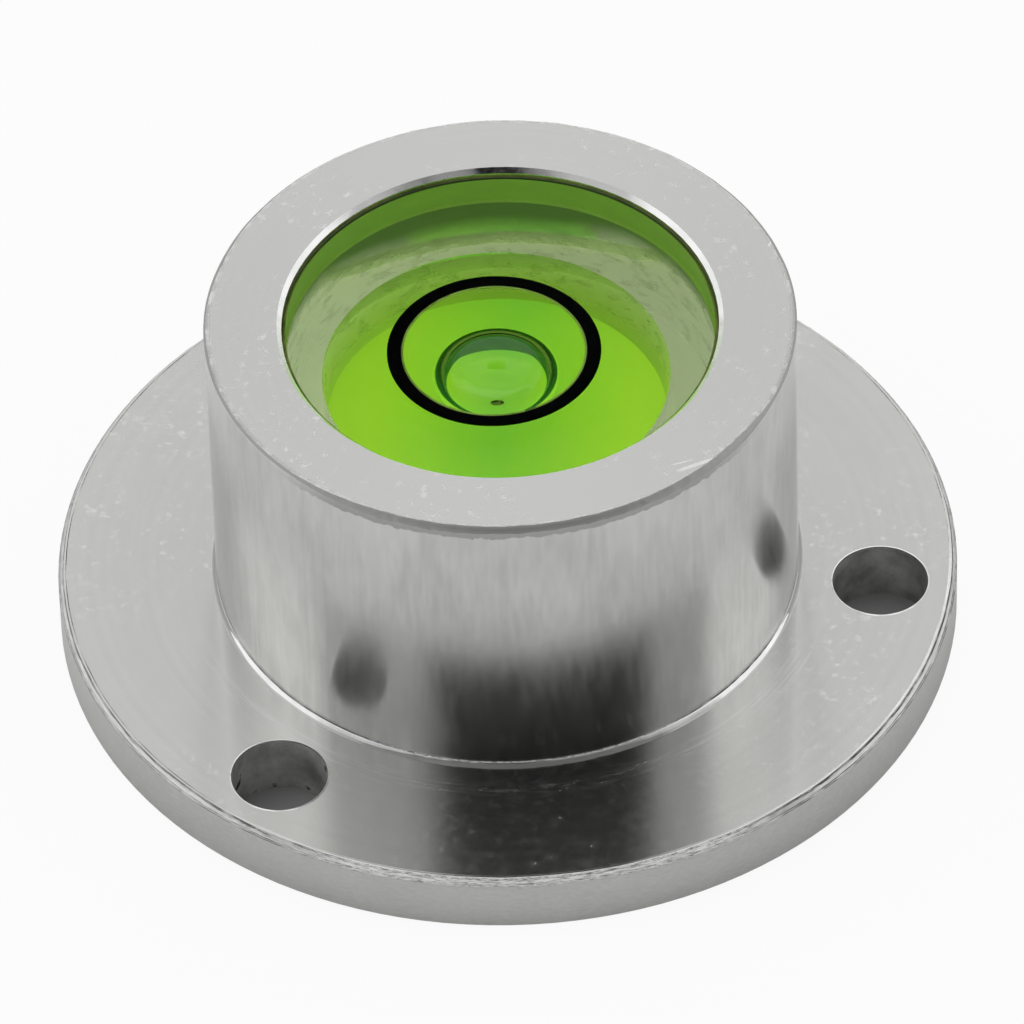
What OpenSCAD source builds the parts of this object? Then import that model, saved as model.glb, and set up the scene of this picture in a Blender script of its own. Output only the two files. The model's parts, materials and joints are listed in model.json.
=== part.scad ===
// Bullseye level: a turned aluminium housing with a bolting flange and, in its bore, a clear vial of
// green liquid whose bubble runs under a domed ceiling. The target ring is printed between the vial
// and the clear disc cemented over it.
// Millimetres, +Z up. The origin is the centre of the flange's underside.

/* [Housing] */
// Diameter of the bolting flange
flange_d = 60; // [58:0.5:80]
// Thickness of the flange
flange_t = 4.4; // [3:0.1:8]
// Bevel round the flange's top edge
flange_bevel = 0.5; // [0.2:0.1:1]
// Bevel round the flange's bottom edge
foot_bevel = 0.3; // [0.1:0.1:0.6]
// Diameter of the hub
hub_d = 38.9; // [36:0.1:42]
// Height of the rim above the flange's underside
rim_h = 26.2; // [22:0.1:40]
// Bevel round the rim's outer edge
rim_bevel = 0.4; // [0.2:0.1:1]
// Radius of the turned fillet where the hub meets the flange
hub_fillet = 0.35; // [0.1:0.05:1]
// Diameter of the bore that holds the vial
bore_d = 28.7; // [28.1:0.1:31.5]
// Broken edge at the bore's mouth
mouth_bevel = 0.3; // [0.1:0.05:0.5]

/* [Bolt holes] */
// Number of bolt holes
bolt_count = 3; // [2:1:6]
// Distance from the flange's edge to a hole's centre
bolt_edge = 5; // [4.4:0.1:6]
// Diameter of a bolt hole, for an M6 bolt
bolt_hole_d = 6.4; // [4:0.1:7]

/* [Cover disc] */
// How far the disc lies below the rim
cover_inset = 0.6; // [0.3:0.1:1.5]
// Thickness of the disc
cover_t = 4; // [3:0.05:6]
// Broken edge round the disc
cover_bevel = 0.2; // [0.1:0.05:0.5]
// Film of cement between the disc and the bore
cover_clearance = 0.05; // [0.02:0.01:0.15]

/* [Target ring] */
// Outer diameter of the ring
ring_d = 14.1; // [12:0.1:17]
// Width of the ring's line
ring_line = 1.08; // [0.5:0.02:2]
// Thickness of the ring's ink
ring_t = 0.05; // [0.03:0.01:0.15]
// How far the ring was printed off the bore's axis
ring_off = 0.45; // [0:0.05:1]

/* [Vial] */
// Height of the vial's body
vial_h = 12.4; // [11:0.1:14]
// Inner diameter of the vial's chamber
chamber_d = 23; // [20:0.1:24]
// Thickness of the vial's ceiling at its middle
ceiling_t = 2; // [1:0.1:2.5]
// How far the domed ceiling rises from the chamber's wall to its middle
dome_rise = 1.7; // [1:0.1:3]
// Film of cement between the vial and the cover disc
joint_t = 0.1; // [0.06:0.01:0.2]
// How far the vial sits off the bore's axis
vial_off = 0.35; // [0:0.05:0.4]
// Least film of cement between the vial and the bore
vial_clearance = 0.05; // [0.03:0.01:0.2]

/* [Base plug] */
// Thickness of the plug's flange, which carries the vial
base_t = 1.5; // [1:0.1:2.5]
// Height of the plug's spigot, whose top is the chamber's white floor
spigot_h = 2; // [1:0.1:3]
// Diameter of the filling hole
fill_d = 1.4; // [0.8:0.1:2]
// Clearance of the spigot in the chamber and of the pin in its hole
base_clearance = 0.02; // [0.01:0.01:0.05]

/* [Liquid and bubble] */
// Diameter of the bubble
bubble_d = 8.3; // [5:0.1:9]
// Depth of the bubble at its middle
bubble_h = 3.4; // [2.4:0.1:4]
// Film of liquid between the bubble and the dome
bubble_film = 0.15; // [0.1:0.05:0.3]
// Space between the bubble and the liquid round it
bubble_space = 0.15; // [0.1:0.05:0.3]
// Radius in which the bubble's cap turns over into its underside
bubble_side_r = 1.7; // [0.8:0.05:2]
// Flattening of the bubble's underside, from 1 for a round one down to 0.5
bubble_flat = 0.6; // [0.5:0.05:1]
// Space between the liquid and the vial
liquid_film = 0.03; // [0.02:0.01:0.08]

/* [Hidden] */

// The first bolt hole is on +X; the vial and the ring lie off the axis towards this side
off_angle = 188;
bore_r = bore_d / 2;
hub_r = hub_d / 2;
flange_r = flange_d / 2;
bolt_circle_r = flange_r - bolt_edge;
cover_r = bore_r - cover_clearance;
cover_top = rim_h - cover_inset;
cover_bottom = cover_top - cover_t;

// The bore is as deep as the disc, the vial and the flange of the base plug need
vial_r = bore_r - vial_off - vial_clearance;
vial_top = cover_bottom - joint_t;
vial_bottom = vial_top - vial_h;
bore_floor = vial_bottom - base_t;
chamber_r = chamber_d / 2;
floor_z = vial_bottom + spigot_h;

// The bubble swings about the centre of the domed ceiling, so it keeps its film of liquid
dome_r = (chamber_r * chamber_r + dome_rise * dome_rise) / (2 * dome_rise);
dome_centre = vial_top - ceiling_t - dome_r;

bubble_r = bubble_d / 2;
bubble_cap_r = dome_r - bubble_film;

// Facets of a full turn, and steps along the profiles' arcs
fine = 128;
hole_facets = 64;
pin_facets = 32;
dome_steps = 24;
corner_steps = 6;

// Height, above the dome's centre, of a sphere of radius r about it, at distance x from the axis
function dome_height(r, x) = sqrt(r * r - x * x);

// Points along an arc about a centre, from one angle to another
function arc(centre, r, from, to, steps) = [
    for (i = [0:steps])
        let (a = from + (to - from) * i / steps)
        centre + r * [cos(a), sin(a)]
];

// Off the bore's axis, as the vial and the ring are in the real one
module set_off(distance) {
    translate([distance * cos(off_angle), distance * sin(off_angle), 0])
        children();
}

// Half section of the turned housing, with its bore
module housing_section() {
    polygon(concat(
        [[0, 0], [flange_r - foot_bevel, 0], [flange_r, foot_bevel]],
        [[flange_r, flange_t - flange_bevel], [flange_r - flange_bevel, flange_t]],
        arc([hub_r + hub_fillet, flange_t + hub_fillet], hub_fillet, 270, 180, corner_steps),
        [[hub_r, rim_h - rim_bevel], [hub_r - rim_bevel, rim_h]],
        [[bore_r + mouth_bevel, rim_h], [bore_r, rim_h - mouth_bevel]],
        [[bore_r, bore_floor], [0, bore_floor]]
    ));
}

module housing() {
    color("silver")
    difference() {
        rotate_extrude($fn = fine)
            housing_section();
        for (i = [0:bolt_count - 1])
            rotate([0, 0, i * 360 / bolt_count])
                translate([bolt_circle_r, 0, -1])
                    cylinder(d = bolt_hole_d, h = flange_t + 2, $fn = hole_facets);
    }
}

module cover_disc() {
    color("lightcyan", 0.4)
    rotate_extrude($fn = fine)
        polygon([
            [0, cover_bottom],
            [cover_r - cover_bevel, cover_bottom],
            [cover_r, cover_bottom + cover_bevel],
            [cover_r, cover_top - cover_bevel],
            [cover_r - cover_bevel, cover_top],
            [0, cover_top]
        ]);
}

// The ink ring lies on the disc's underside, in the film of cement above the vial
module target_ring() {
    color("black")
    set_off(ring_off)
        translate([0, 0, cover_bottom - ring_t])
            difference() {
                cylinder(d = ring_d, h = ring_t, $fn = fine);
                translate([0, 0, -ring_t])
                    cylinder(d = ring_d - 2 * ring_line, h = 3 * ring_t, $fn = fine);
            }
}

// A clear cup upside down: flat on top, with a domed ceiling, and open below for the base plug
module vial_body() {
    color("palegreen", 0.45)
    set_off(vial_off)
        rotate_extrude($fn = fine)
            polygon(concat(
                [[0, vial_top], [vial_r, vial_top], [vial_r, vial_bottom], [chamber_r, vial_bottom]],
                arc([0, dome_centre], dome_r, acos(chamber_r / dome_r), 90, dome_steps)
            ));
}

// White plug that closes the vial from below; its top is the bright floor seen through the liquid
module base_plug() {
    color("white")
    set_off(vial_off)
        difference() {
            union() {
                translate([0, 0, bore_floor])
                    cylinder(r = vial_r, h = base_t, $fn = fine);
                translate([0, 0, vial_bottom - base_t / 2])
                    cylinder(r = chamber_r - base_clearance, h = spigot_h + base_t / 2, $fn = fine);
            }
            translate([0, 0, bore_floor - 1])
                cylinder(d = fill_d, h = base_t + spigot_h + 2, $fn = pin_facets);
        }
}

// Seals the hole through which the vial was filled
module fill_pin() {
    color("gray")
    set_off(vial_off)
        translate([0, 0, bore_floor])
            cylinder(d = fill_d - 2 * base_clearance, h = base_t + spigot_h, $fn = pin_facets);
}

// Half section of the bubble, grown by a margin: its cap follows the dome, and its underside
// is a flattened round that meets the cap in a small radius
module bubble_section(margin) {
    side_x = bubble_r - bubble_side_r;
    side_z = dome_height(bubble_cap_r - bubble_side_r, side_x);
    cap_angle = atan2(side_z, side_x);
    depth = side_z - bubble_cap_r + bubble_h + margin;
    under_step = 90 / dome_steps;
    polygon(concat(
        [
            for (a = [90:-under_step:0])
                [
                    (bubble_r + margin) * pow(cos(a), bubble_flat),
                    dome_centre + side_z - depth * pow(sin(a), bubble_flat)
                ]
        ],
        arc(
            [side_x, dome_centre + side_z], bubble_side_r + margin,
            cap_angle / corner_steps, cap_angle, corner_steps
        ),
        arc([0, dome_centre], bubble_cap_r + margin, cap_angle, 90, dome_steps)
    ));
}

// Fills the chamber, with a pocket where the bubble stands against the ceiling
module level_liquid() {
    liquid_r = chamber_r - liquid_film;
    top_r = dome_r - liquid_film;
    color("yellowgreen", 0.5)
    set_off(vial_off)
        rotate_extrude($fn = fine)
            difference() {
                polygon(concat(
                    [[0, floor_z + liquid_film], [liquid_r, floor_z + liquid_film]],
                    arc([0, dome_centre], top_r, acos(liquid_r / top_r), 90, dome_steps)
                ));
                bubble_section(bubble_space);
            }
}

module air_bubble() {
    color("honeydew", 0.6)
    set_off(vial_off)
        rotate_extrude($fn = fine)
            bubble_section(0);
}

housing();
cover_disc();
target_ring();
vial_body();
base_plug();
fill_pin();
level_liquid();
air_bubble();
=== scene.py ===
import json
import math

import bmesh
import bpy
from mathutils import Matrix, Vector, noise


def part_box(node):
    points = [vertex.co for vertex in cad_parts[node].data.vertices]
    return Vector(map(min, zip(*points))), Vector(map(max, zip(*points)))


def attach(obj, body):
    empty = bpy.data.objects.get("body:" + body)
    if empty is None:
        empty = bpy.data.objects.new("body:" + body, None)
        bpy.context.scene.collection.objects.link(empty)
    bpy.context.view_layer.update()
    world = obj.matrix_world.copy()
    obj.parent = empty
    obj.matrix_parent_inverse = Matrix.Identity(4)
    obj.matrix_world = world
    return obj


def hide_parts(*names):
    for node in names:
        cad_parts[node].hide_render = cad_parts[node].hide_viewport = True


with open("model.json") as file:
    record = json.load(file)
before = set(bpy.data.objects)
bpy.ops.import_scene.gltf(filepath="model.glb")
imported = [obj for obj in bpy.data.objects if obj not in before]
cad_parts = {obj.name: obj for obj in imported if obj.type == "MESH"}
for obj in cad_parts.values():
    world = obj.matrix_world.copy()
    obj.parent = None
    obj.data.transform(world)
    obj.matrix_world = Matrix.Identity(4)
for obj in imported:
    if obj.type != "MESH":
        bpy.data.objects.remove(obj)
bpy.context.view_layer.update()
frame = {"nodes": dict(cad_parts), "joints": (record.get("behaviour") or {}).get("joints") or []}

MM = 0.001

# Where the photograph was taken from: angles in degrees, lengths in millimetres
CAMERA_AZIMUTH = 7.95
CAMERA_ELEVATION = 44.906
CAMERA_ROLL = 1.757
CAMERA_DISTANCE = 817.54
CAMERA_SIDE = 0.403
CAMERA_RISE = -1.094
AIM_HEIGHT = 10
SENSOR = 36
FOCAL_LENGTH = 432.71

# Light bends at the faces of the acrylic, the liquid and the bubble
ACRYLIC_IOR = 1.49
LIQUID_IOR = 1.36

# Steps round a turned piece and round the uneven edges
TURN_STEPS = 192
FLANGE_EDGE_STEPS = 1440
RIM_EDGE_STEPS = 1080
HUB_FOOT_STEPS = 720
HOLE_EDGE_STEPS = 192


# Sizes that come from the frame, in metres

def radius_of(node):
    low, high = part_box(node)
    return (high.x - low.x) / 2


def axis_of(node):
    low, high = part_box(node)
    return (low.x + high.x) / 2, (low.y + high.y) / 2


DISC_LOW, DISC_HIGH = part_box("cover_disc")
VIAL_LOW, VIAL_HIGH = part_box("vial_body")
LIQUID_LOW, LIQUID_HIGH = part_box("level_liquid")
BUBBLE_LOW, BUBBLE_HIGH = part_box("air_bubble")
FLOOR_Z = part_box("base_plug")[1].z
RIM_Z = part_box("housing")[1].z
FLANGE_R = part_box("housing")[1].x
VIAL_AXIS = axis_of("vial_body")
CHAMBER_R = radius_of("level_liquid")

# Sizes that part.scad gives and the frame doesn't list
HUB_R = 19.45 * MM
FLANGE_Z = 4.4 * MM
BOLT_CIRCLE_R = 25 * MM
BOLT_HOLE_R = 3.2 * MM
BOLT_COUNT = 3
RIM_BEVEL = 0.4 * MM
DISC_BEVEL = 0.2 * MM
INK_LINE = 1.08 * MM
BUBBLE_SIDE_R = 1.7 * MM
BUBBLE_FLAT = 0.6

# Keeps the vial's faces clear of the solids beside them
FILM = 0.01 * MM

TRAVEL = [j for j in frame["joints"] if j["name"] == "bubble_travel"][0]
DOME_CENTRE_Z = TRAVEL["pos_m"][2]
DOME_R = LIQUID_HIGH.z - DOME_CENTRE_Z

# Wear round the housing: the azimuth from which the shapes of its edges are counted, and the
# stretches that tools have worn and the stretch of a band of painted dark reflection, each by its
# middle, its reach and how far it fades within that reach, in degrees from -Y towards +X
WORN_AZIMUTH = 8
TORN = (11, 36, 14)
ROLLED = (36, 72, 14)
# Stretch of the band of painted dark reflection on the hub below the rim
PAINTED_REFLECTION_BAND = (12, 54, 16)
MARKED = (10, 74, 24)
SMUDGED = (12, 26, 14)

# How far the torn edge of the flange itself fades, and where round the worn azimuth the rolled lip,
# the uneven groove and the rim's broad bevel begin and end, each over a smooth step
TORN_FADE = 16
LIP_SPAN = (-42, -24), (72, 90)
GROOVE_SPAN = (15, 40), (95, 120)
BROAD_SPAN = (-48, -22), (50, 68)

# Side on which the vial's wall is cemented deepest, the distances from the axis between which the
# cement deepens, how deep it runs and how softly it ends
CEMENT_AZIMUTH = 196
CEMENT_FROM = (10 * MM, 13.5 * MM)
CEMENT_DEPTH = (3.6 * MM, 7.5 * MM)
CEMENT_END = (3.2 * MM, 5 * MM)

# Radius of the mark that a tool has left on the flange, and where it fades out on either side
TOOL_MARK_R = 21.75 * MM
TOOL_MARK_WIDTH = (0.2 * MM, 0.9 * MM)

# Scratches on the rim: place, direction in degrees, half length and half width, in millimetres
SCRATCHES = (
    (14.6, -11.9, 31, 1.9, 0.17),
    (16.4, -10.7, 53, 1.3, 0.14),
    (8.3, 17.3, 20, 0.4, 0.14),
    (16.9, 9.0, 75, 0.4, 0.12),
    (13.3, -12.0, 24, 0.8, 0.06),
)

# How far a normal leans up or down: where a face begins to count as level, sloped or upright
LEVEL = (0.9, 0.99)
SLOPED = (0.5, 0.6)
UPRIGHT = (0.1, 0.2)
HOLE_WALL = (0.3, 0.5)

# Noise: marks a metre, octaves, and how strong each octave is beside the one before
CLOUDS = (350, 4, 0.6)
LATHE_LINES = (2600, 1, 0.5)
STREAKS = (1300, 3, 0.6)
FINE_STREAKS = (2600, 2, 0.6)
GRAIN = (1500, 3, 0.65)
WEAR = (500, 3, 0.6)
EDGE_CLOUDS = (400, 3, 0.6)
PLASTIC_CLOUDS = (300, 3, 0.5)
BLOTS = (1400, 2, 0.5)

# Noise drawn out upwards: how much of its height is left
STREAKS_DRAWN = (1, 1, 0.16)
FINE_DRAWN = (1, 1, 0.12)
STAINS_DRAWN = (1, 1, 0.4)

# Noise drawn out in rings: marks a radian, marks a metre across, octaves and their strength
BRUSHED = (60, 6000, 3, 0.6)
# Ragged lower edge of the band of painted dark reflection below the rim
PAINTED_BAND_EDGE = (26, 500, 4, 0.6)
TOOL_STROKES = (5, 5000, 4, 0.7)
TORN_STROKES = (24, 7000, 5, 0.75)
GROOVE_STROKES = (16, 2500, 4, 0.7)
TORN_GROOVE = (60, 9000, 4, 0.7)
WALL_WAVES = (3, 300, 2, 0.5)
CEMENT_RUNS = (9, 900, 3, 0.6)

# Values between which noise turns from one colour into another
SOFT = (0.3, 0.7)
FIRM = (0.35, 0.65)
TOOL_STROKE = (0.46, 0.72)
TORN_STROKE = (0.42, 0.55)
TORN_GRAIN = (0.34, 0.42)
GROOVE_STROKE = (0.48, 0.6)
TORN_GROOVE_STROKE = (0.4, 0.54)
HOLE_SHADE = (0.35, 0.6)
HOLE_SPECK = (0.64, 0.68)
MOUTH_SHADE = (0.4, 0.6)
FLECK = (0.5, 0.56)

# Relief: strength and height in metres
TURNED_RELIEF = (0.2, 0.00001)
TORN_RELIEF = (0.3, 0.00002)
WALL_RELIEF = (0.05, 0.0002)

# Separate marks: their noise, as above, then the values at which a mark begins and is full
PATCHES = (130, 2, 0.5, 0.4, 0.6)
STAINS = (260, 3, 0.6, 0.42, 0.62)
RIM_NICKS = (1500, 3, 0.6, 0.6, 0.78)
FLANGE_NICKS = (1700, 3, 0.65, 0.56, 0.8)
FILED_SPOTS = (900, 3, 0.6, 0.5, 0.7)
SMUDGES = (1100, 4, 0.7, 0.48, 0.8)

# Colours of the turned metal, then of its worn and dirty places, of the painted shade in its
# grooves, of a band of painted dark reflection below its rim and of the painted green shade in its
# bore
METAL = (0.67, 0.67, 0.658), (0.71, 0.71, 0.698)
FLANGE_METAL = (0.745, 0.745, 0.73)
RIM_METAL = (0.67, 0.67, 0.66)
LINE_METAL = (0.56, 0.56, 0.55)
DULL_METAL = (0.54, 0.54, 0.525)
FINE_METAL = (0.5, 0.5, 0.485)
STAIN_METAL = (0.86, 0.86, 0.84)
# Darker metal of the filed bevel, also used for the band of painted dark reflection below the rim
BEVEL_AND_PAINTED_REFLECTION_METAL = (0.42, 0.42, 0.41)
MOUTH_METAL = (0.92, 0.92, 0.91)
HOLE_METAL = (0.4, 0.4, 0.39), (0.8, 0.8, 0.785)
HOLE_DIRT = (0.05, 0.05, 0.05)
# Painted shade with a painted green reflection, on the bore's wall
BORE_PAINTED_GREEN_SHADE = (0.10, 0.17, 0.06)
NICK_METAL = (0.95, 0.95, 0.95)
TORN_METAL = (0.46, 0.46, 0.46), (0.96, 0.96, 0.95)
GRAIN_METAL = (0.34, 0.34, 0.34)
QUIET_METAL = (0.5, 0.5, 0.49), (0.78, 0.78, 0.77)
# Painted shade in the grooves, where they are shallow and where they are deep
SHALLOW_GROOVE_SHADE = (0.24, 0.24, 0.24)
DEEP_GROOVE_SHADE = (0.1, 0.1, 0.105)
GROOVE_METAL = (0.55, 0.55, 0.54)
TORN_GROOVE_METAL = (0.85, 0.85, 0.84)
BURNISHED_METAL = (0.84, 0.84, 0.83), (0.97, 0.97, 0.96)
SATIN_METAL = (0.72, 0.72, 0.705)

# Colours of the vial and what is in it; the glows are painted light, the green of the disc's edge
# is painted light too, and the pale ink along the ring's inner edge is a painted highlight
DYE = (0.76, 0.97, 0.03)
DYE_DENSITY = 180
CLEAR = (1, 1, 1)
WALL_TINT = (0.6, 0.95, 0.25)
BUBBLE_PAINTED_GLOW = (0.006, 0.06, 0.01)
# Painted green light and a painted glow on the disc's matt edge
EDGE_PAINTED_GREEN_LIGHT = (0.21, 0.43, 0.035), (0.25, 0.50, 0.045)
EDGE_PAINTED_GLOW = (0.057, 0.10, 0.016)
LINE_GREEN = (0.09, 0.12, 0.02), (0.26, 0.33, 0.06)
CEMENT_GREEN = (0.08, 0.15, 0.04)
CEMENT_PAINTED_GLOW = (0.03, 0.06, 0.012)
INK = (0.004, 0.004, 0.005)
INK_EDGE_PAINTED_HIGHLIGHT = (0.5, 0.75, 0.16)
RESIN = (0.02, 0.035, 0.015), (0.5, 0.62, 0.3)
PLASTIC = (0.86, 0.87, 0.80), (0.9, 0.9, 0.86)
# Painted glows on the white plastic: its floor, the lower ring round it, and its other faces
FLOOR_PAINTED_GLOW = (0.13, 0.33, 0.09), (0.25, 0.40, 0.06)
RING_PAINTED_GLOW = (0.20, 0.25, 0.12), (0.135, 0.17, 0.075)
SIDE_PAINTED_GLOW = (0.10, 0.16, 0.035)

# Whites of the paper: a painted shadow under the level, painted shade beside it, and white further
# away
PAPER_PAINTED_SHADOW = (0.27, 0.27, 0.27)
PAPER = (0.68, 0.68, 0.68), (0.8, 0.8, 0.8)
PAPER_SHINE = 0.993
SEEN_SHINE = 0.94
MIRRORED_SHINE = 0.12
PAPER_WIDTH = 3

LAMP_WIDTH = 0.64
LAMP_ENERGY = 1.3
LAMP_PLACE = (-0.1, 0.05, 0.7)

# Dark openings in the white tent round the level: azimuth, elevation, half width and half height in
# degrees, and how much of the white is left. A sheer screen hangs in the first: what reflects it
# once still sees SCREEN_LEFT of the white there.
SCREENED = (20, 45, 30, 38, 0.0)
SCREEN_LEFT = 0.3
OPENINGS = (
    SCREENED,
    (8, 45, 11, 11, 0.0),
    (68, 45, 18, 24, 0.45),
    (-34, 45, 26, 24, 0.5),
    (156, 42, 14, 20, 0.6),
    (-140, 42, 14, 20, 0.6),
    (188, 45, 2.2, 2.2, 0.0),
)

# Share of an opening's half width from which its edge begins, and at which it ends
OPENING_EDGE = (0.92, 1.04)


def direction(azimuth, elevation):
    """Unit vector towards an azimuth, counted from -Y towards +X, and an elevation."""
    a = math.radians(azimuth)
    e = math.radians(elevation)
    return Vector((math.sin(a) * math.cos(e), -math.cos(a) * math.cos(e), math.sin(e)))


# Meshes

def arc(centre_x, centre_z, radius, start, end, steps):
    """Points of a round stretch of a half section, angles in degrees."""
    points = []
    for i in range(steps + 1):
        angle = math.radians(start + (end - start) * i / steps)
        points.append((centre_x + radius * math.cos(angle), centre_z + radius * math.sin(angle)))
    return points


def revolve(name, section, axis=(0, 0), slots=None, sharp=30):
    """A turned piece from its half section, given as (radius, height) in metres."""
    return turned(name, lambda angle: section, TURN_STEPS, axis, slots, False, sharp)


def turned(name, section_at, steps, axis, slots, closed, sharp):
    """A turned piece whose half section may change round the axis: section_at gives it for an
    angle, and slots gives each side of it its material."""
    count = len(section_at(0.0))
    sides = count if closed else count - 1
    verts, faces, numbers = [], [], []
    for i in range(steps):
        angle = 2 * math.pi * i / steps
        for r, z in section_at(angle):
            verts.append((axis[0] + r * math.cos(angle), axis[1] + r * math.sin(angle), z))
    for i in range(steps):
        j = (i + 1) % steps
        for k in range(sides):
            m = (k + 1) % count
            faces.append((i * count + k, j * count + k, j * count + m, i * count + m))
            numbers.append(slots[k] if slots else 0)
    mesh = bpy.data.meshes.new(name)
    mesh.from_pydata(verts, [], faces)
    for polygon, number in zip(mesh.polygons, numbers):
        polygon.material_index = number
        polygon.use_smooth = True
    bm = bmesh.new()
    bm.from_mesh(mesh)
    bmesh.ops.remove_doubles(bm, verts=bm.verts, dist=1e-8)
    bmesh.ops.recalc_face_normals(bm, faces=bm.faces)
    bm.to_mesh(mesh)
    bm.free()
    mesh.set_sharp_from_angle(angle=math.radians(sharp))
    obj = bpy.data.objects.new(name, mesh)
    bpy.context.scene.collection.objects.link(obj)
    return obj


def unevenness(angle, row, waves):
    """How a filed edge wanders round the axis, with so many waves a turn: from about -1 to 1."""
    reach = waves / math.pi
    return 1.6 * noise.noise(Vector((reach * math.cos(angle), reach * math.sin(angle), 7.3 * row)))


def between(value, low, high):
    """0 below low, 1 above high, and a smooth step between them."""
    share = min(max((value - low) / (high - low), 0.0), 1.0)
    return share * share * (3 - 2 * share)


def span(value, start, end):
    """1 between two smooth steps, which start and end give, and 0 outside them."""
    return between(value, *start) * (1 - between(value, *end))


def from_worn(angle):
    """Angle in degrees round the axis from the worn azimuth."""
    return (math.degrees(angle) + 90 - WORN_AZIMUTH + 180) % 360 - 180


# Materials

class Nodes:
    """A few short ways to add nodes to a tree."""

    def __init__(self, tree):
        self.tree = tree

    def node(self, kind, **settings):
        made = self.tree.nodes.new(kind)
        for key, value in settings.items():
            setattr(made, key, value)
        return made

    def link(self, source, target):
        self.tree.links.new(source, target)

    def math(self, operation, first, second=None, clamp=False):
        made = self.node("ShaderNodeMath", operation=operation, use_clamp=clamp)
        for slot, value in zip(made.inputs, (first, second)):
            if value is None:
                continue
            if isinstance(value, (int, float)):
                slot.default_value = value
            else:
                self.link(value, slot)
        return made.outputs[0]

    def both(self, first, second):
        return self.math("MULTIPLY", first, second)

    def either(self, first, second):
        return self.math("MAXIMUM", first, second)

    def inverse(self, value):
        return self.math("SUBTRACT", 1.0, value)

    def size(self, value):
        return self.math("ABSOLUTE", value)

    def dot(self, vector, fixed):
        made = self.node("ShaderNodeVectorMath", operation="DOT_PRODUCT")
        self.link(vector, made.inputs[0])
        made.inputs[1].default_value = fixed
        return made.outputs["Value"]

    def stretch(self, value, low, high, out_low=0.0, out_high=1.0):
        """From out_low, where the value is low or less, to out_high, where it is high or more."""
        made = self.node("ShaderNodeMapRange", clamp=True)
        limits = {"From Min": low, "From Max": high, "To Min": out_low, "To Max": out_high}
        for name, number in limits.items():
            made.inputs[name].default_value = number
        self.link(value, made.inputs["Value"])
        return made.outputs[0]

    def fade(self, value, low, high):
        """1 where the value is low or less, 0 where it is high or more."""
        return self.stretch(value, low, high, 1.0, 0.0)

    def noise(self, vector, scale, detail, rough):
        made = self.node("ShaderNodeTexNoise")
        made.inputs["Scale"].default_value = scale
        made.inputs["Detail"].default_value = detail
        made.inputs["Roughness"].default_value = rough
        self.link(vector, made.inputs["Vector"])
        return made.outputs["Fac"]

    def marks(self, vector, scale, detail, rough, low, high):
        """Separate marks: 1 where the noise is above high and 0 where it is below low."""
        return self.stretch(self.noise(vector, scale, detail, rough), low, high)

    def mix(self, share, first, second):
        made = self.node("ShaderNodeMix", data_type="RGBA")
        self.link(share, made.inputs["Factor"])
        for slot, value in ((made.inputs[6], first), (made.inputs[7], second)):
            if isinstance(value, tuple):
                slot.default_value = (*value, 1)
            else:
                self.link(value, slot)
        return made.outputs[2]


class Paint(Nodes):
    """A material, its shader and its output."""

    def __init__(self, name):
        self.material = bpy.data.materials.new(name)
        self.material.use_nodes = True
        super().__init__(self.material.node_tree)
        self.shader = self.tree.nodes["Principled BSDF"]
        self.output = self.tree.nodes["Material Output"]

    def set(self, **values):
        """Give the shader's inputs fixed values; a colour is given as three numbers."""
        for key, value in values.items():
            value = (*value, 1) if isinstance(value, tuple) else value
            self.shader.inputs[key.replace("_", " ")].default_value = value

    def drive(self, **sources):
        """Link the shader's inputs to what changes over the face."""
        for key, source in sources.items():
            self.link(source, self.shader.inputs[key.replace("_", " ")])

    def blend(self, share, second):
        """Show the second shader in place of the first, as far as share says."""
        made = self.node("ShaderNodeMixShader")
        self.link(share, made.inputs[0])
        self.link(self.shader.outputs[0], made.inputs[1])
        self.link(second.outputs[0], made.inputs[2])
        self.link(made.outputs[0], self.output.inputs["Surface"])

    def place(self, scale=None):
        """Place on the object in metres, stretched along an axis where scale says so."""
        place = self.node("ShaderNodeTexCoord").outputs["Object"]
        if scale is None:
            return place
        made = self.node("ShaderNodeVectorMath", operation="MULTIPLY")
        self.link(place, made.inputs[0])
        made.inputs[1].default_value = scale
        return made.outputs[0]

    def parts(self, vector):
        made = self.node("ShaderNodeSeparateXYZ")
        self.link(vector, made.inputs[0])
        return made.outputs

    def bump(self, height, strength, distance):
        made = self.node("ShaderNodeBump")
        made.inputs["Strength"].default_value = strength
        made.inputs["Distance"].default_value = distance
        self.link(height, made.inputs["Height"])
        self.drive(Normal=made.outputs[0])

    def slope(self):
        """How far the face's normal leans up, from -1 to 1."""
        return self.parts(self.node("ShaderNodeNewGeometry").outputs["True Normal"])[2]

    def radius(self):
        """Distance from the housing's axis in metres."""
        x, y = self.parts(self.place())[:2]
        return self.math("SQRT", self.math("ADD", self.both(x, x), self.both(y, y)))

    def height(self):
        """Height above the flange's underside in metres."""
        return self.parts(self.place())[2]

    def rings(self, lengthwise, crosswise, detail, rough):
        """Noise drawn out in rings about the axis: so many marks a radian, and a metre across."""
        x, y, z = self.parts(self.place())
        radius = self.radius()
        made = self.node("ShaderNodeCombineXYZ")
        for part, slot in zip((x, y), made.inputs):
            self.link(self.both(self.math("DIVIDE", part, radius), lengthwise), slot)
        self.link(self.both(self.math("SUBTRACT", radius, z), crosswise), made.inputs[2])
        return self.noise(made.outputs[0], 1, detail, rough)


def stretch_round(paint, middle, reach, soft):
    """1 on the stretch round the axis that reaches so many degrees from its middle, 0 elsewhere."""
    share = paint.math("DIVIDE", paint.dot(paint.place(), direction(middle, 0)), paint.radius())
    return paint.stretch(share, math.cos(math.radians(reach)), math.cos(math.radians(reach - soft)))


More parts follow.
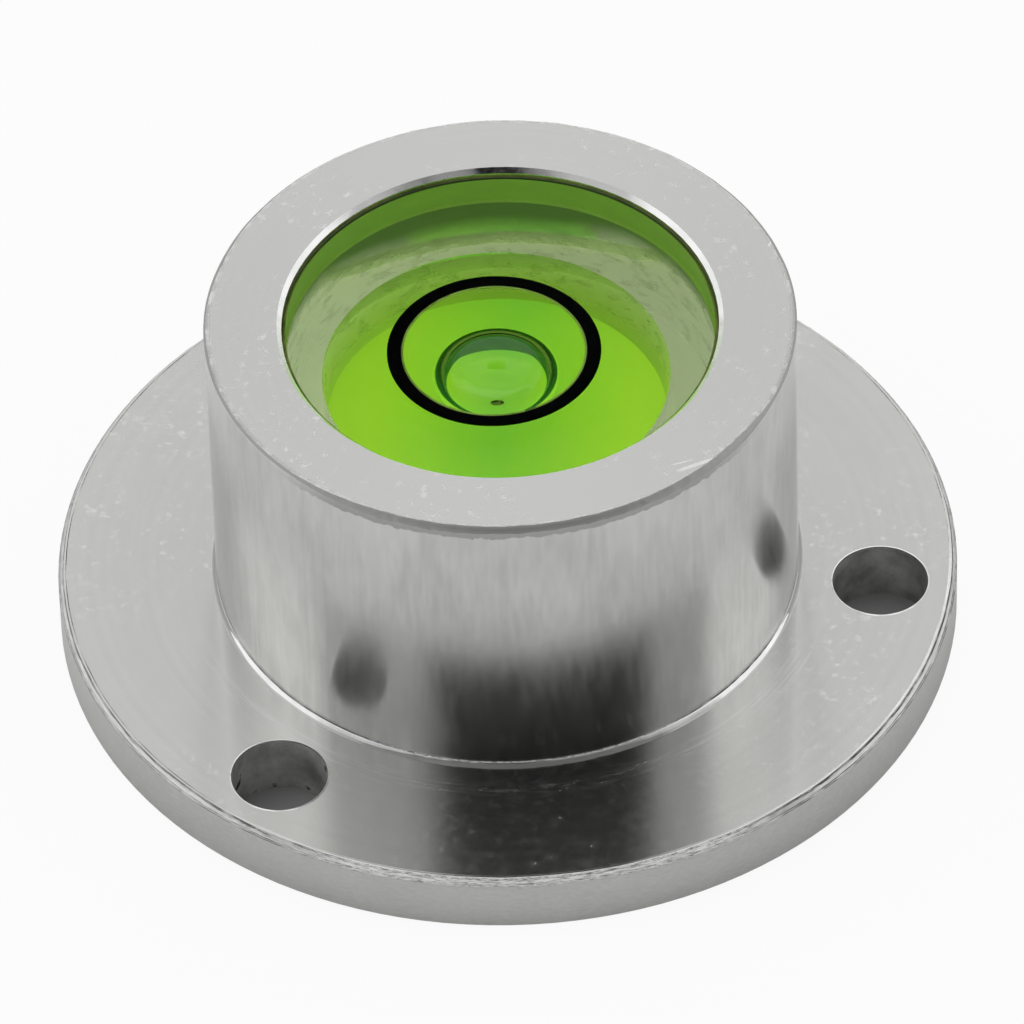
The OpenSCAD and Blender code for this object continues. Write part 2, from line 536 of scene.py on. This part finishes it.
def scratch(paint, x, y, turn, half_length, half_width):
    """1 on a straight scratch on a level face, and 0 elsewhere."""
    middle = Vector((x, y, 0)) * MM
    along, across, up = Matrix.Rotation(math.radians(turn), 3, "Z").col
    shares = []
    for axis, half, full in ((along, half_length, 0.7), (across, half_width, 0.5)):
        off = paint.math("SUBTRACT", paint.dot(paint.place(), axis), axis.dot(middle))
        shares.append(paint.fade(paint.size(off), half * full * MM, half * MM))
    return paint.both(*shares)


def lathe_lines(paint):
    """Fine lines that run round the axis, as a cutting tool leaves them."""
    place = paint.node("ShaderNodeCombineXYZ")
    paint.link(paint.radius(), place.inputs[0])
    paint.link(paint.height(), place.inputs[2])
    return paint.noise(place.outputs[0], *LATHE_LINES)


class Faces:
    """The housing's faces: each is 1 on that face and 0 elsewhere."""

    def __init__(self, paint):
        radius, height, slope = paint.radius(), paint.height(), paint.slope()
        steepness = paint.size(slope)
        level = paint.stretch(slope, *LEVEL)
        sloped = paint.both(paint.stretch(slope, *SLOPED), paint.inverse(level))
        upright = paint.fade(steepness, *UPRIGHT)
        outside = paint.stretch(radius, HUB_R - 1.0 * MM, HUB_R - 0.8 * MM)
        within = paint.both(
            paint.stretch(radius, HUB_R + 1.0 * MM, HUB_R + 1.1 * MM),
            paint.fade(radius, FLANGE_R - 1.1 * MM, FLANGE_R - 1.0 * MM),
        )
        high = paint.stretch(height, RIM_Z - 2 * MM, RIM_Z - 1 * MM)
        below_disc = paint.fade(height, DISC_HIGH.z - 0.1 * MM, DISC_HIGH.z)
        inner = paint.fade(radius, HUB_R - 3 * MM, HUB_R - 2.9 * MM)
        self.bevel = paint.both(sloped, outside)
        self.mouth = paint.both(sloped, paint.inverse(outside))
        self.hole = paint.both(within, paint.fade(steepness, *HOLE_WALL))
        self.rim = paint.both(level, high)
        self.flange = paint.both(level, paint.inverse(high))
        self.hub = paint.both(upright, paint.fade(radius, HUB_R + 0.5 * MM, HUB_R + 0.6 * MM))
        at_edge = paint.stretch(radius, FLANGE_R - 0.6 * MM, FLANGE_R - 0.5 * MM)
        self.side = paint.both(upright, at_edge)
        self.bore = paint.both(paint.both(upright, inner), below_disc)


class Marks:
    """What use has left on the housing, and a band of painted dark reflection below the rim: each
    is up to 1 on such a mark and 0 elsewhere.
    """

    def __init__(self, paint, faces):
        radius, height = paint.radius(), paint.height()
        patches = paint.marks(paint.place(), *PATCHES)
        rim_nicks = paint.both(paint.marks(paint.place(), *RIM_NICKS), 0.9)
        flange_nicks = paint.both(paint.marks(paint.place(), *FLANGE_NICKS), 0.4)
        edge = HUB_R - RIM_BEVEL
        filed = paint.stretch(radius, edge - 0.15 * MM, edge + 0.05 * MM)
        filed = paint.both(filed, paint.both(paint.marks(paint.place(), *FILED_SPOTS), 0.7))
        nicks = paint.either(paint.both(rim_nicks, patches), filed)
        for line in SCRATCHES:
            nicks = paint.either(nicks, scratch(paint, *line))
        self.nicks = paint.both(faces.rim, nicks)
        self.flange_nicks = paint.both(paint.both(flange_nicks, faces.flange), patches)

        # A band of painted dark reflection on the hub below the rim, with a ragged lower edge, on
        # one stretch round the axis
        ragged = paint.math("ADD", height, paint.both(paint.rings(*PAINTED_BAND_EDGE), 0.9 * MM))
        ragged = paint.stretch(ragged, RIM_Z - 0.38 * MM, RIM_Z - 0.33 * MM)
        self.painted_reflection_band = paint.both(paint.both(faces.hub, ragged), stretch_round(paint, *PAINTED_REFLECTION_BAND))

        off = paint.size(paint.math("SUBTRACT", radius, TOOL_MARK_R))
        strokes = paint.stretch(paint.rings(*TOOL_STROKES), *TOOL_STROKE)
        strokes = paint.both(paint.fade(off, *TOOL_MARK_WIDTH), strokes)
        self.tool = paint.both(paint.both(faces.flange, strokes), stretch_round(paint, *MARKED))

        smudges = paint.both(faces.flange, paint.marks(paint.place(), *SMUDGES))
        self.smudges = paint.both(smudges, stretch_round(paint, *SMUDGED))


def turned_aluminium():
    """Turned metal: satin flats, smoother walls, filed bevels, dull holes and bright nicks, with
    painted green shade in the bore and a band of painted dark reflection below the rim.
    """
    paint = Paint("turned_aluminium")
    faces = Faces(paint)
    marks = Marks(paint, faces)
    lines = lathe_lines(paint)
    clouds = paint.noise(paint.place(), *CLOUDS)
    streaks = paint.noise(paint.place(STREAKS_DRAWN), *STREAKS)
    fine = paint.noise(paint.place(FINE_DRAWN), *FINE_STREAKS)
    stains = paint.marks(paint.place(STAINS_DRAWN), *STAINS)
    brushed = paint.rings(*BRUSHED)
    dull = paint.either(
        paint.both(faces.hub, paint.stretch(streaks, *SOFT, 0.0, 0.5)),
        paint.both(faces.side, paint.stretch(brushed, *SOFT, 0.1, 0.6)),
    )
    hole = paint.mix(paint.stretch(clouds, *HOLE_SHADE), *HOLE_METAL)
    hole = paint.mix(paint.stretch(clouds, *HOLE_SPECK), hole, HOLE_DIRT)

    base = paint.mix(paint.stretch(clouds, *SOFT), *METAL)
    for share, colour in (
        (faces.flange, FLANGE_METAL),
        (faces.rim, RIM_METAL),
        (paint.stretch(lines, *FIRM, 0.0, 0.08), LINE_METAL),
        (dull, DULL_METAL),
        (paint.both(faces.hub, paint.stretch(fine, *FIRM, 0.0, 0.28)), FINE_METAL),
        (paint.both(paint.both(faces.hub, stains), 0.3), STAIN_METAL),
        # The filed bevel, and the band of painted dark reflection in the same darker metal
        (paint.either(faces.bevel, marks.painted_reflection_band), BEVEL_AND_PAINTED_REFLECTION_METAL),
        (faces.mouth, MOUTH_METAL),
        (faces.hole, hole),
        # Painted green shade on the bore's wall
        (faces.bore, BORE_PAINTED_GREEN_SHADE),
        (marks.nicks, NICK_METAL),
        (paint.either(paint.both(marks.tool, 0.6), marks.flange_nicks), NICK_METAL),
    ):
        base = paint.mix(share, base, colour)

    rough = paint.stretch(clouds, *SOFT, 0.116, 0.124)
    for share, more in (
        (faces.flange, 0.07),
        (faces.rim, 0.13),
        (marks.nicks, 0.35),
        (marks.flange_nicks, 0.2),
        (marks.tool, 0.12),
        (faces.bevel, 0.4),
        (marks.smudges, 0.07),
        (faces.hub, paint.stretch(streaks, *SOFT, 0.04, 0.09)),
        (faces.side, 0.1),
        (faces.hole, 0.25),
        (faces.bore, 0.3),
        (faces.mouth, paint.stretch(clouds, *MOUTH_SHADE, 0.0, 0.2)),
    ):
        rough = paint.math("ADD", rough, paint.both(share, more))

    # The holes are a little less metallic, and the bore's painted green shade is mostly not
    # metallic
    less_metallic = paint.either(paint.both(faces.hole, 0.25), paint.both(faces.bore, 0.7))
    paint.set(Anisotropic=0.75, Anisotropic_Rotation=0.25)
    paint.drive(
        Base_Color=base,
        Metallic=paint.inverse(less_metallic),
        Roughness=rough,
        Anisotropic=paint.stretch(faces.hub, 0.0, 1.0, 0.6, 0.85),
        Tangent=paint.node("ShaderNodeTangent", direction_type="RADIAL", axis="Z").outputs[0],
    )
    relief = paint.math("ADD", paint.both(lines, 0.3), paint.both(streaks, 0.5))
    paint.bump(paint.both(faces.hub, relief), *TURNED_RELIEF)
    return paint.material


def burred_metal():
    """Metal that the file and the lathe have torn up, brightest where the flange's edge is torn."""
    paint = Paint("burred_metal")
    torn = stretch_round(paint, *TORN)
    grain = paint.noise(paint.place(), *GRAIN)
    strokes = paint.rings(*TORN_STROKES)
    bright = paint.mix(paint.stretch(strokes, *TORN_STROKE), *TORN_METAL)
    bright = paint.mix(paint.stretch(grain, *TORN_GRAIN, 0.4, 0.0), bright, GRAIN_METAL)
    quiet = paint.mix(paint.stretch(strokes, *FIRM), *QUIET_METAL)
    paint.drive(
        Base_Color=paint.mix(torn, quiet, bright),
        Metallic=paint.stretch(torn, 0.0, 1.0, 1.0, 0.3),
        Roughness=paint.stretch(torn, 0.0, 1.0, 0.28, 0.55),
    )
    paint.bump(strokes, *TORN_RELIEF)
    return paint.material


def groove_painted_shade():
    """Painted shade in the grooves beside the burrs, with brighter stretches where they are
    shallow.
    """
    paint = Paint("groove_painted_shade")
    # Painted shade in the grooves, darkest on the rolled stretch
    painted_shade = paint.mix(stretch_round(paint, *ROLLED), SHALLOW_GROOVE_SHADE, DEEP_GROOVE_SHADE)
    strokes = paint.stretch(paint.rings(*GROOVE_STROKES), *GROOVE_STROKE)
    quiet = paint.mix(strokes, painted_shade, GROOVE_METAL)
    strokes = paint.stretch(paint.rings(*TORN_GROOVE), *TORN_GROOVE_STROKE)
    torn = paint.mix(strokes, SHALLOW_GROOVE_SHADE, TORN_GROOVE_METAL)
    paint.drive(Base_Color=paint.mix(stretch_round(paint, *TORN), quiet, torn))
    paint.set(Metallic=0.5, Roughness=0.45)
    return paint.material


def burnished():
    """The bead at the hub's foot and the rolled lip on the flange's edge, which the tool has rubbed
    bright."""
    paint = Paint("burnished_metal")
    wear = paint.noise(paint.place(), *WEAR)
    bright = paint.mix(paint.stretch(wear, *FIRM), *BURNISHED_METAL)
    inner = paint.fade(paint.radius(), FLANGE_R - 2 * MM, FLANGE_R - 1 * MM)
    rubbed = paint.either(stretch_round(paint, *ROLLED), inner)
    paint.drive(Base_Color=paint.mix(rubbed, SATIN_METAL, bright))
    paint.set(Metallic=1.0, Roughness=0.22)
    return paint.material


def polished_clear(name, ratio):
    """Clear material; ratio is its refractive index over that of what lies outside it."""
    paint = Paint(name)
    paint.set(Base_Color=CLEAR, Roughness=0.0, Transmission_Weight=1.0, IOR=ratio)
    return paint


def upright_share(paint, low, high):
    """1 on upright faces and 0 on level ones, from the face's slope."""
    return paint.fade(paint.size(paint.slope()), low, high)


def green_liquid():
    """Dyed liquid that looks deeper green through the chamber's upright wall."""
    paint = polished_clear("green_liquid", LIQUID_IOR / ACRYLIC_IOR)
    paint.drive(Base_Color=paint.mix(upright_share(paint, *UPRIGHT), CLEAR, WALL_TINT))
    volume = paint.node("ShaderNodeVolumeAbsorption")
    volume.inputs["Color"].default_value = (*DYE, 1)
    volume.inputs["Density"].default_value = DYE_DENSITY
    paint.link(volume.outputs[0], paint.output.inputs["Volume"])
    return paint.material


def bubble_air():
    """Air in the liquid; the bubble's round side has a painted green glow."""
    paint = polished_clear("air", 1 / LIQUID_IOR)
    # Painted green glow on the bubble's round side
    paint.drive(Emission_Color=paint.mix(upright_share(paint, 0.35, 0.75), (0, 0, 0), BUBBLE_PAINTED_GLOW))
    paint.set(Emission_Strength=1.0)
    return paint.material


def cemented_face():
    """A face with clear cement on its other side, so light goes straight on."""
    paint = Paint("cemented_face")
    clear = paint.node("ShaderNodeBsdfTransparent")
    paint.link(clear.outputs[0], paint.output.inputs["Surface"])
    return paint.material


def ground_edge():
    """The disc's matt edge, painted green with a painted glow for the light of the vial."""
    paint = Paint("ground_edge")
    clouds = paint.noise(paint.place(), *EDGE_CLOUDS)
    paint.drive(Base_Color=paint.mix(paint.stretch(clouds, *SOFT), *EDGE_PAINTED_GREEN_LIGHT))
    paint.set(Roughness=0.5, Emission_Color=EDGE_PAINTED_GLOW, Emission_Strength=1.0)
    return paint.material


def cement_line():
    """Aged cement that shows as a thin dark line round the disc's top edge."""
    paint = Paint("cement_line")
    wear = paint.noise(paint.place(), *WEAR)
    paint.drive(Base_Color=paint.mix(paint.stretch(wear, *FIRM), *LINE_GREEN))
    paint.set(Roughness=0.35)
    return paint.material


def vial_wall():
    """The vial's wavy moulded wall, with a little air between it and the bore, and dull green
    cement that has run down its top, deepest on one side, with a painted glow."""
    paint = polished_clear("vial_wall", ACRYLIC_IOR)
    paint.bump(paint.rings(*WALL_WAVES), *WALL_RELIEF)
    along = paint.dot(paint.place(), direction(CEMENT_AZIMUTH, 0))
    reach = paint.stretch(along, *CEMENT_FROM, *CEMENT_DEPTH)
    soft = paint.stretch(along, *CEMENT_FROM, *CEMENT_END)
    depth = paint.math("SUBTRACT", VIAL_HIGH.z, paint.height())
    full = paint.math("DIVIDE", paint.math("SUBTRACT", reach, depth), soft, clamp=True)
    runs = paint.stretch(paint.rings(*CEMENT_RUNS), *FIRM, -0.25, 0.25)
    share = paint.math("ADD", full, paint.both(runs, paint.inverse(full)), clamp=True)
    cement = paint.node("ShaderNodeBsdfPrincipled")
    cement.inputs["Base Color"].default_value = (*CEMENT_GREEN, 1)
    cement.inputs["Roughness"].default_value = 0.5
    # Painted glow on the cement
    cement.inputs["Emission Color"].default_value = (*CEMENT_PAINTED_GLOW, 1)
    cement.inputs["Emission Strength"].default_value = 1.0
    paint.blend(share, cement)
    return paint.material


def ink_ring():
    """Black ink with a pale painted highlight along the ring's inner edge."""
    paint = Paint("black_ink")
    low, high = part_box("target_ring")
    middle = paint.node("ShaderNodeVectorMath", operation="SUBTRACT")
    paint.link(paint.place(), middle.inputs[0])
    middle.inputs[1].default_value = (*axis_of("target_ring"), low.z)
    distance = paint.node("ShaderNodeVectorMath", operation="LENGTH")
    paint.link(middle.outputs[0], distance.inputs[0])
    inner = (high.x - low.x) / 2 - INK_LINE
    # Painted highlight: a pale line along the ring's inner edge
    thin = paint.fade(distance.outputs["Value"], inner + 0.10 * MM, inner + 0.16 * MM)
    paint.drive(Base_Color=paint.mix(paint.both(thin, 0.85), INK, INK_EDGE_PAINTED_HIGHLIGHT))
    paint.set(Roughness=0.6, Specular_IOR_Level=0.0)
    return paint.material


def pin_resin():
    """Dark resin with a paler fleck or two."""
    paint = Paint("plug_resin")
    blots = paint.noise(paint.place(), *BLOTS)
    paint.drive(Base_Color=paint.mix(paint.stretch(blots, *FLECK), *RESIN))
    paint.set(Roughness=0.5)
    return paint.material


def white_base():
    """White plastic under the liquid and the vial, with painted glows that are brighter to the
    sides.
    """
    paint = Paint("white_plastic")
    clouds = paint.noise(paint.place(), *PLASTIC_CLOUDS)
    across = paint.parts(paint.place())[0]
    # Painted glow on the floor, brighter towards both sides, and on the lower ring, brighter
    # towards -X; the other faces get a third painted glow
    glow = paint.mix(paint.stretch(paint.size(across), 0.0, CHAMBER_R * 0.75), *FLOOR_PAINTED_GLOW)
    ring = paint.mix(paint.stretch(across, -10 * MM, -2 * MM), *RING_PAINTED_GLOW)
    on_floor = paint.stretch(paint.height(), FLOOR_Z - 0.1 * MM, FLOOR_Z - 0.05 * MM)
    level = paint.stretch(paint.size(paint.slope()), *LEVEL)
    paint.drive(
        Base_Color=paint.mix(paint.stretch(clouds, *SOFT), *PLASTIC),
        Emission_Color=paint.mix(level, SIDE_PAINTED_GLOW, paint.mix(on_floor, ring, glow)),
    )
    paint.set(Roughness=0.5, Emission_Strength=1.0)
    return paint.material


def paper():
    """The white surface that the level stands on, with a painted shadow under the level and painted
    shade beside it; where it is seen directly most of it shines by itself, so that shadows stay
    faint."""
    paint = Paint("paper")
    radius = paint.radius()
    # Painted shade on the paper beside the level, fading out further away, and a painted shadow
    # under the level, where the paper doesn't shine
    shaded = paint.mix(paint.stretch(radius, FLANGE_R, FLANGE_R * 1.6), *PAPER)
    open_to_light = paint.stretch(radius, FLANGE_R * 0.95, FLANGE_R * 0.97)
    paint.drive(Base_Color=paint.mix(open_to_light, PAPER_PAINTED_SHADOW, shaded))
    paint.set(Roughness=1.0, Specular_IOR_Level=0.0)
    shine = paint.node("ShaderNodeEmission")
    shine.inputs["Strength"].default_value = PAPER_SHINE
    rays = paint.node("ShaderNodeLightPath").outputs
    mirrored = paint.either(rays["Is Glossy Ray"], rays["Is Transmission Ray"])
    share = paint.either(
        paint.both(rays["Is Camera Ray"], SEEN_SHINE), paint.both(mirrored, MIRRORED_SHINE)
    )
    paint.blend(paint.both(share, open_to_light), shine)
    return paint.material


# Pieces

def dress(node, material):
    obj = frame["nodes"][node]
    obj.data.materials.clear()
    obj.data.materials.append(material)
    for polygon in obj.data.polygons:
        polygon.use_smooth = True
    obj.data.set_sharp_from_angle(angle=math.radians(25))


# Material slots of the housing's edges
BURR, GROOVE, PLAIN, BRIGHT = range(4)


def metal_edge(name, section_at, slots, steps, axis=(0, 0)):
    """A closed uneven ring on one of the housing's edges."""
    obj = turned(name, section_at, steps, axis, slots, closed=True, sharp=50)
    for material in (BURRED_METAL, GROOVE_SHADE_PAINT, ALUMINIUM, BRIGHT_METAL):
        obj.data.materials.append(material)
    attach(obj, "housing")


def flange_edge(angle):
    """Rolled lip, groove and torn bevel round the flange's top edge, in millimetres from it."""
    side = from_worn(angle)
    middle, reach = TORN[:2]
    torn = 1 - between(abs(side + WORN_AZIMUTH - middle), reach - TORN_FADE, reach)
    lip = span(side, *LIP_SPAN)
    uneven = span(-side, *GROOVE_SPAN)
    slow = 0.03 * unevenness(angle, 1, 40)
    quick = (0.012 + 0.03 * torn) * unevenness(angle, 2, 260)
    wander = (0.015 + 0.03 * torn) * unevenness(angle, 3, 190)
    groove = 0.03 + 0.02 * uneven * unevenness(angle, 4, 90)
    points = (
        (-0.60, -0.012),
        (-0.53 + slow, 0.025 * lip),
        (-0.45 + slow, 0.04 * lip),
        (-0.36 + slow, 0.02 * lip),
        (-0.34 + slow, -0.08),
        (-0.31 + slow + groove, -0.13 - groove),
        (-0.25 + quick, -0.19 + quick),
        (-0.12 + wander, -0.31 + wander),
        (-0.085, -0.385),
        (-0.05 + wander, -0.41),
        (-0.01, -0.46 + quick),
        (-0.003, -0.56 - 0.06 * torn + quick),
        (-0.1, -0.72),
        (-0.6, -0.3),
    )
    return [(FLANGE_R + min(r, 0) * MM, FLANGE_Z + z * MM) for r, z in points]


def rim_edge(angle):
    """The rim's outer bevel, filed unevenly: broad on the worn stretch, nearly sharp elsewhere."""
    side = from_worn(angle)
    broad = span(side, *BROAD_SPAN)
    back = between(abs(side), 95, 110)
    width = 0.15 + 0.21 * broad + 0.13 * back + 0.02 * unevenness(angle, 5, 70)
    lower = width + (0.01 + 0.05 * broad) * unevenness(angle, 6, 120)
    lower = min(max(lower, 0.05), 0.44)
    width = min(width + 0.02 * unevenness(angle, 7, 200), 0.385)
    points = ((-0.395, 0.0), (-width, 0.0), (-0.002, -lower), (-0.002, -0.47), (-0.45, -0.45))
    return [(HUB_R + r * MM, RIM_Z + z * MM) for r, z in points]


def hub_foot(angle):
    """Bead and a line of painted shade where the hub meets the flange, widest beside the worn
    azimuth.
    """
    shift = 0.02 * unevenness(angle, 8, 60)
    side = abs(from_worn(angle))
    rubbed = between(side, 14, 34)
    share = (1 + 0.1 * rubbed) * (1 - 0.65 * between(side, 52, 80))
    width = 0.08 + 0.15 * rubbed
    points = (
        (-0.05, 0.35),
        (0.012, 0.34),
        (0.03, 0.26 + shift),
        (0.03 + width + shift, 0.26 - 0.6 * width),
        (0.34 + shift, 0.0),
        (0.36, -0.05),
        (-0.05, -0.05),
    )
    return [(HUB_R + r * share * MM, FLANGE_Z + z * share * MM) for r, z in points]


def hole_edge(angle):
    """Small burr round a bolt hole."""
    burr = 0.012 + 0.012 * unevenness(angle, 9, 12)
    points = ((-0.012, -0.12), (-0.01, burr), (0.07, burr), (0.13, -0.02), (0.13, -0.12))
    return [(BOLT_HOLE_R + r * MM, FLANGE_Z + z * MM) for r, z in points]


def metal_edges():
    lip, torn = [BRIGHT] * 3 + [GROOVE] * 2, [BURR] * 2 + [GROOVE, BURR, GROOVE]
    metal_edge("flange_edge", flange_edge, lip + torn + [PLAIN] * 4, FLANGE_EDGE_STEPS)
    metal_edge("rim_edge", rim_edge, [PLAIN] * 5, RIM_EDGE_STEPS)
    bead = [GROOVE, GROOVE, BRIGHT, PLAIN, PLAIN, PLAIN, GROOVE]
    metal_edge("hub_foot", hub_foot, bead, HUB_FOOT_STEPS)
    for i in range(BOLT_COUNT):
        turn = 2 * math.pi * i / BOLT_COUNT
        centre = (BOLT_CIRCLE_R * math.cos(turn), BOLT_CIRCLE_R * math.sin(turn))
        metal_edge(f"hole_edge_{i + 1}", hole_edge, [BRIGHT] * 5, HOLE_EDGE_STEPS, centre)


def cover_disc():
    radius = radius_of("cover_disc")
    section = [
        (0, DISC_LOW.z),
        (radius - DISC_BEVEL, DISC_LOW.z),
        (radius, DISC_LOW.z + DISC_BEVEL),
        (radius, DISC_HIGH.z - DISC_BEVEL),
        (radius - DISC_BEVEL, DISC_HIGH.z),
        (0, DISC_HIGH.z),
    ]
    polished, cemented, ground, line = range(4)
    obj = revolve("clear_disc", section, slots=[cemented, ground, ground, line, polished])
    clear = polished_clear("clear_acrylic", ACRYLIC_IOR).material
    for material in (clear, CEMENTED, ground_edge(), cement_line()):
        obj.data.materials.append(material)
    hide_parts("cover_disc")
    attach(obj, "housing")


def vial():
    """The vial and the cement round it; the liquid is nested in it, so the chamber isn't hollowed
    out."""
    chamber = CHAMBER_R + 3 * FILM
    radius = radius_of("cover_disc")
    section = [
        (0, FLOOR_Z + FILM),
        (chamber, FLOOR_Z + FILM),
        (chamber, VIAL_LOW.z + FILM),
        (radius, VIAL_LOW.z + FILM),
        (radius, VIAL_HIGH.z),
        (0, VIAL_HIGH.z),
    ]
    cemented, wall, seated = range(3)
    obj = revolve("clear_vial", section, slots=[cemented, cemented, seated, wall, cemented])
    for material in (CEMENTED, vial_wall(), WHITE):
        obj.data.materials.append(material)
    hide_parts("vial_body")
    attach(obj, "housing")


def liquid():
    edge = math.degrees(math.acos(CHAMBER_R / DOME_R))
    section = [(0, LIQUID_LOW.z), (CHAMBER_R, LIQUID_LOW.z)]
    section += arc(0, DOME_CENTRE_Z, DOME_R, edge, 90, 32)
    obj = revolve("green_liquid", section, VIAL_AXIS)
    obj.data.materials.append(green_liquid())
    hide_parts("level_liquid")
    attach(obj, "liquid")


def bubble():
    """A cap that follows the dome, a round side and a flattened underside."""
    radius = radius_of("air_bubble")
    depth = BUBBLE_HIGH.z - BUBBLE_LOW.z
    cap = BUBBLE_HIGH.z - DOME_CENTRE_Z
    side_x = radius - BUBBLE_SIDE_R
    side_z = math.sqrt((cap - BUBBLE_SIDE_R) ** 2 - side_x ** 2)
    turn = math.degrees(math.atan2(side_z, side_x))
    under = side_z - cap + depth
    under_steps = 24
    section = []
    for i in range(under_steps):
        angle = math.radians(90 - 90 * i / under_steps)
        x = radius * max(math.cos(angle), 0) ** BUBBLE_FLAT
        section.append((x, DOME_CENTRE_Z + side_z - under * math.sin(angle) ** BUBBLE_FLAT))
    section += arc(side_x, DOME_CENTRE_Z + side_z, BUBBLE_SIDE_R, 0, turn, 12)
    section += arc(0, DOME_CENTRE_Z, cap, turn, 90, 16)[1:]
    section[0] = (0, section[0][1])
    section[-1] = (0, section[-1][1])
    obj = revolve("bubble_of_air", section, VIAL_AXIS, sharp=60)
    obj.data.materials.append(bubble_air())
    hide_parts("air_bubble")
    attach(obj, "bubble")


# Stage

def tent(nodes):
    """Brightness of the white tent by direction, with its dark openings."""
    towards = nodes.node("ShaderNodeTexCoord").outputs["Generated"]
    reflections = nodes.node("ShaderNodeLightPath").outputs["Glossy Depth"]
    white = 1.0
    for opening in OPENINGS:
        azimuth, elevation, half_width, half_height, left = opening
        middle = direction(azimuth, elevation)
        side = Vector((-middle.y, middle.x, 0)).normalized()
        shares = []
        for axis, half in ((side, half_width), (middle.cross(side), half_height)):
            off = nodes.size(nodes.dot(towards, axis / math.sin(math.radians(half))))
            shares.append(nodes.fade(off, *OPENING_EDGE))
        facing = nodes.stretch(nodes.dot(towards, middle), 0.0, 0.01)
        inside = nodes.both(nodes.both(*shares), facing)
        white = nodes.both(nodes.stretch(inside, 0.0, 1.0, 1.0, left), white)
        if opening == SCREENED:
            once = nodes.fade(reflections, 1.4, 1.6)
            screen = nodes.both(nodes.both(inside, once), SCREEN_LEFT)
            white = nodes.math("ADD", white, screen)
    return white


def floor():
    """The paper under the level."""
    half = PAPER_WIDTH / 2
    corners = [(-half, -half, 0), (half, -half, 0), (half, half, 0), (-half, half, 0)]
    mesh = bpy.data.meshes.new("floor")
    mesh.from_pydata(corners, [], [(0, 1, 2, 3)])
    mesh.materials.append(paper())
    obj = bpy.data.objects.new("floor", mesh)
    bpy.context.scene.collection.objects.link(obj)


def camera():
    back = direction(CAMERA_AZIMUTH, CAMERA_ELEVATION)
    right = Vector((-back.y, back.x, 0)).normalized()
    up = back.cross(right)
    aim = (right * CAMERA_SIDE + up * CAMERA_RISE + Vector((0, 0, AIM_HEIGHT))) * MM
    data = bpy.data.cameras.new("camera")
    data.sensor_width = SENSOR
    data.lens = FOCAL_LENGTH
    data.clip_start = 0.01
    data.clip_end = 10
    obj = bpy.data.objects.new("camera", data)
    bpy.context.scene.collection.objects.link(obj)
    roll = Matrix.Rotation(math.radians(-CAMERA_ROLL), 3, "Z")
    turn = Matrix((right, up, back)).transposed() @ roll
    obj.matrix_world = Matrix.Translation(aim + back * CAMERA_DISTANCE * MM) @ turn.to_4x4()
    bpy.context.scene.camera = obj


def lights():
    """A white tent with dark openings, and a lamp above."""
    world = bpy.data.worlds.new("world")
    bpy.context.scene.world = world
    world.use_nodes = True
    nodes = Nodes(world.node_tree)
    background = world.node_tree.nodes["Background"]
    background.inputs["Color"].default_value = (*CLEAR, 1)
    nodes.link(tent(nodes), background.inputs["Strength"])

    data = bpy.data.lights.new("top_light", "AREA")
    data.shape = "SQUARE"
    data.size = LAMP_WIDTH
    data.energy = LAMP_ENERGY
    lamp = bpy.data.objects.new("top_light", data)
    lamp.visible_glossy = False
    bpy.context.scene.collection.objects.link(lamp)
    lamp.location = LAMP_PLACE
    lamp.rotation_euler = (-lamp.location).to_track_quat("-Z", "Y").to_euler()


CEMENTED = cemented_face()
ALUMINIUM = turned_aluminium()
BURRED_METAL = burred_metal()
GROOVE_SHADE_PAINT = groove_painted_shade()
BRIGHT_METAL = burnished()
WHITE = white_base()
dress("housing", ALUMINIUM)
metal_edges()
dress("target_ring", ink_ring())
dress("base_plug", WHITE)
dress("fill_pin", pin_resin())
cover_disc()
vial()
liquid()
bubble()
camera()
floor()
lights()

bpy.context.scene.view_settings.view_transform = "Standard"
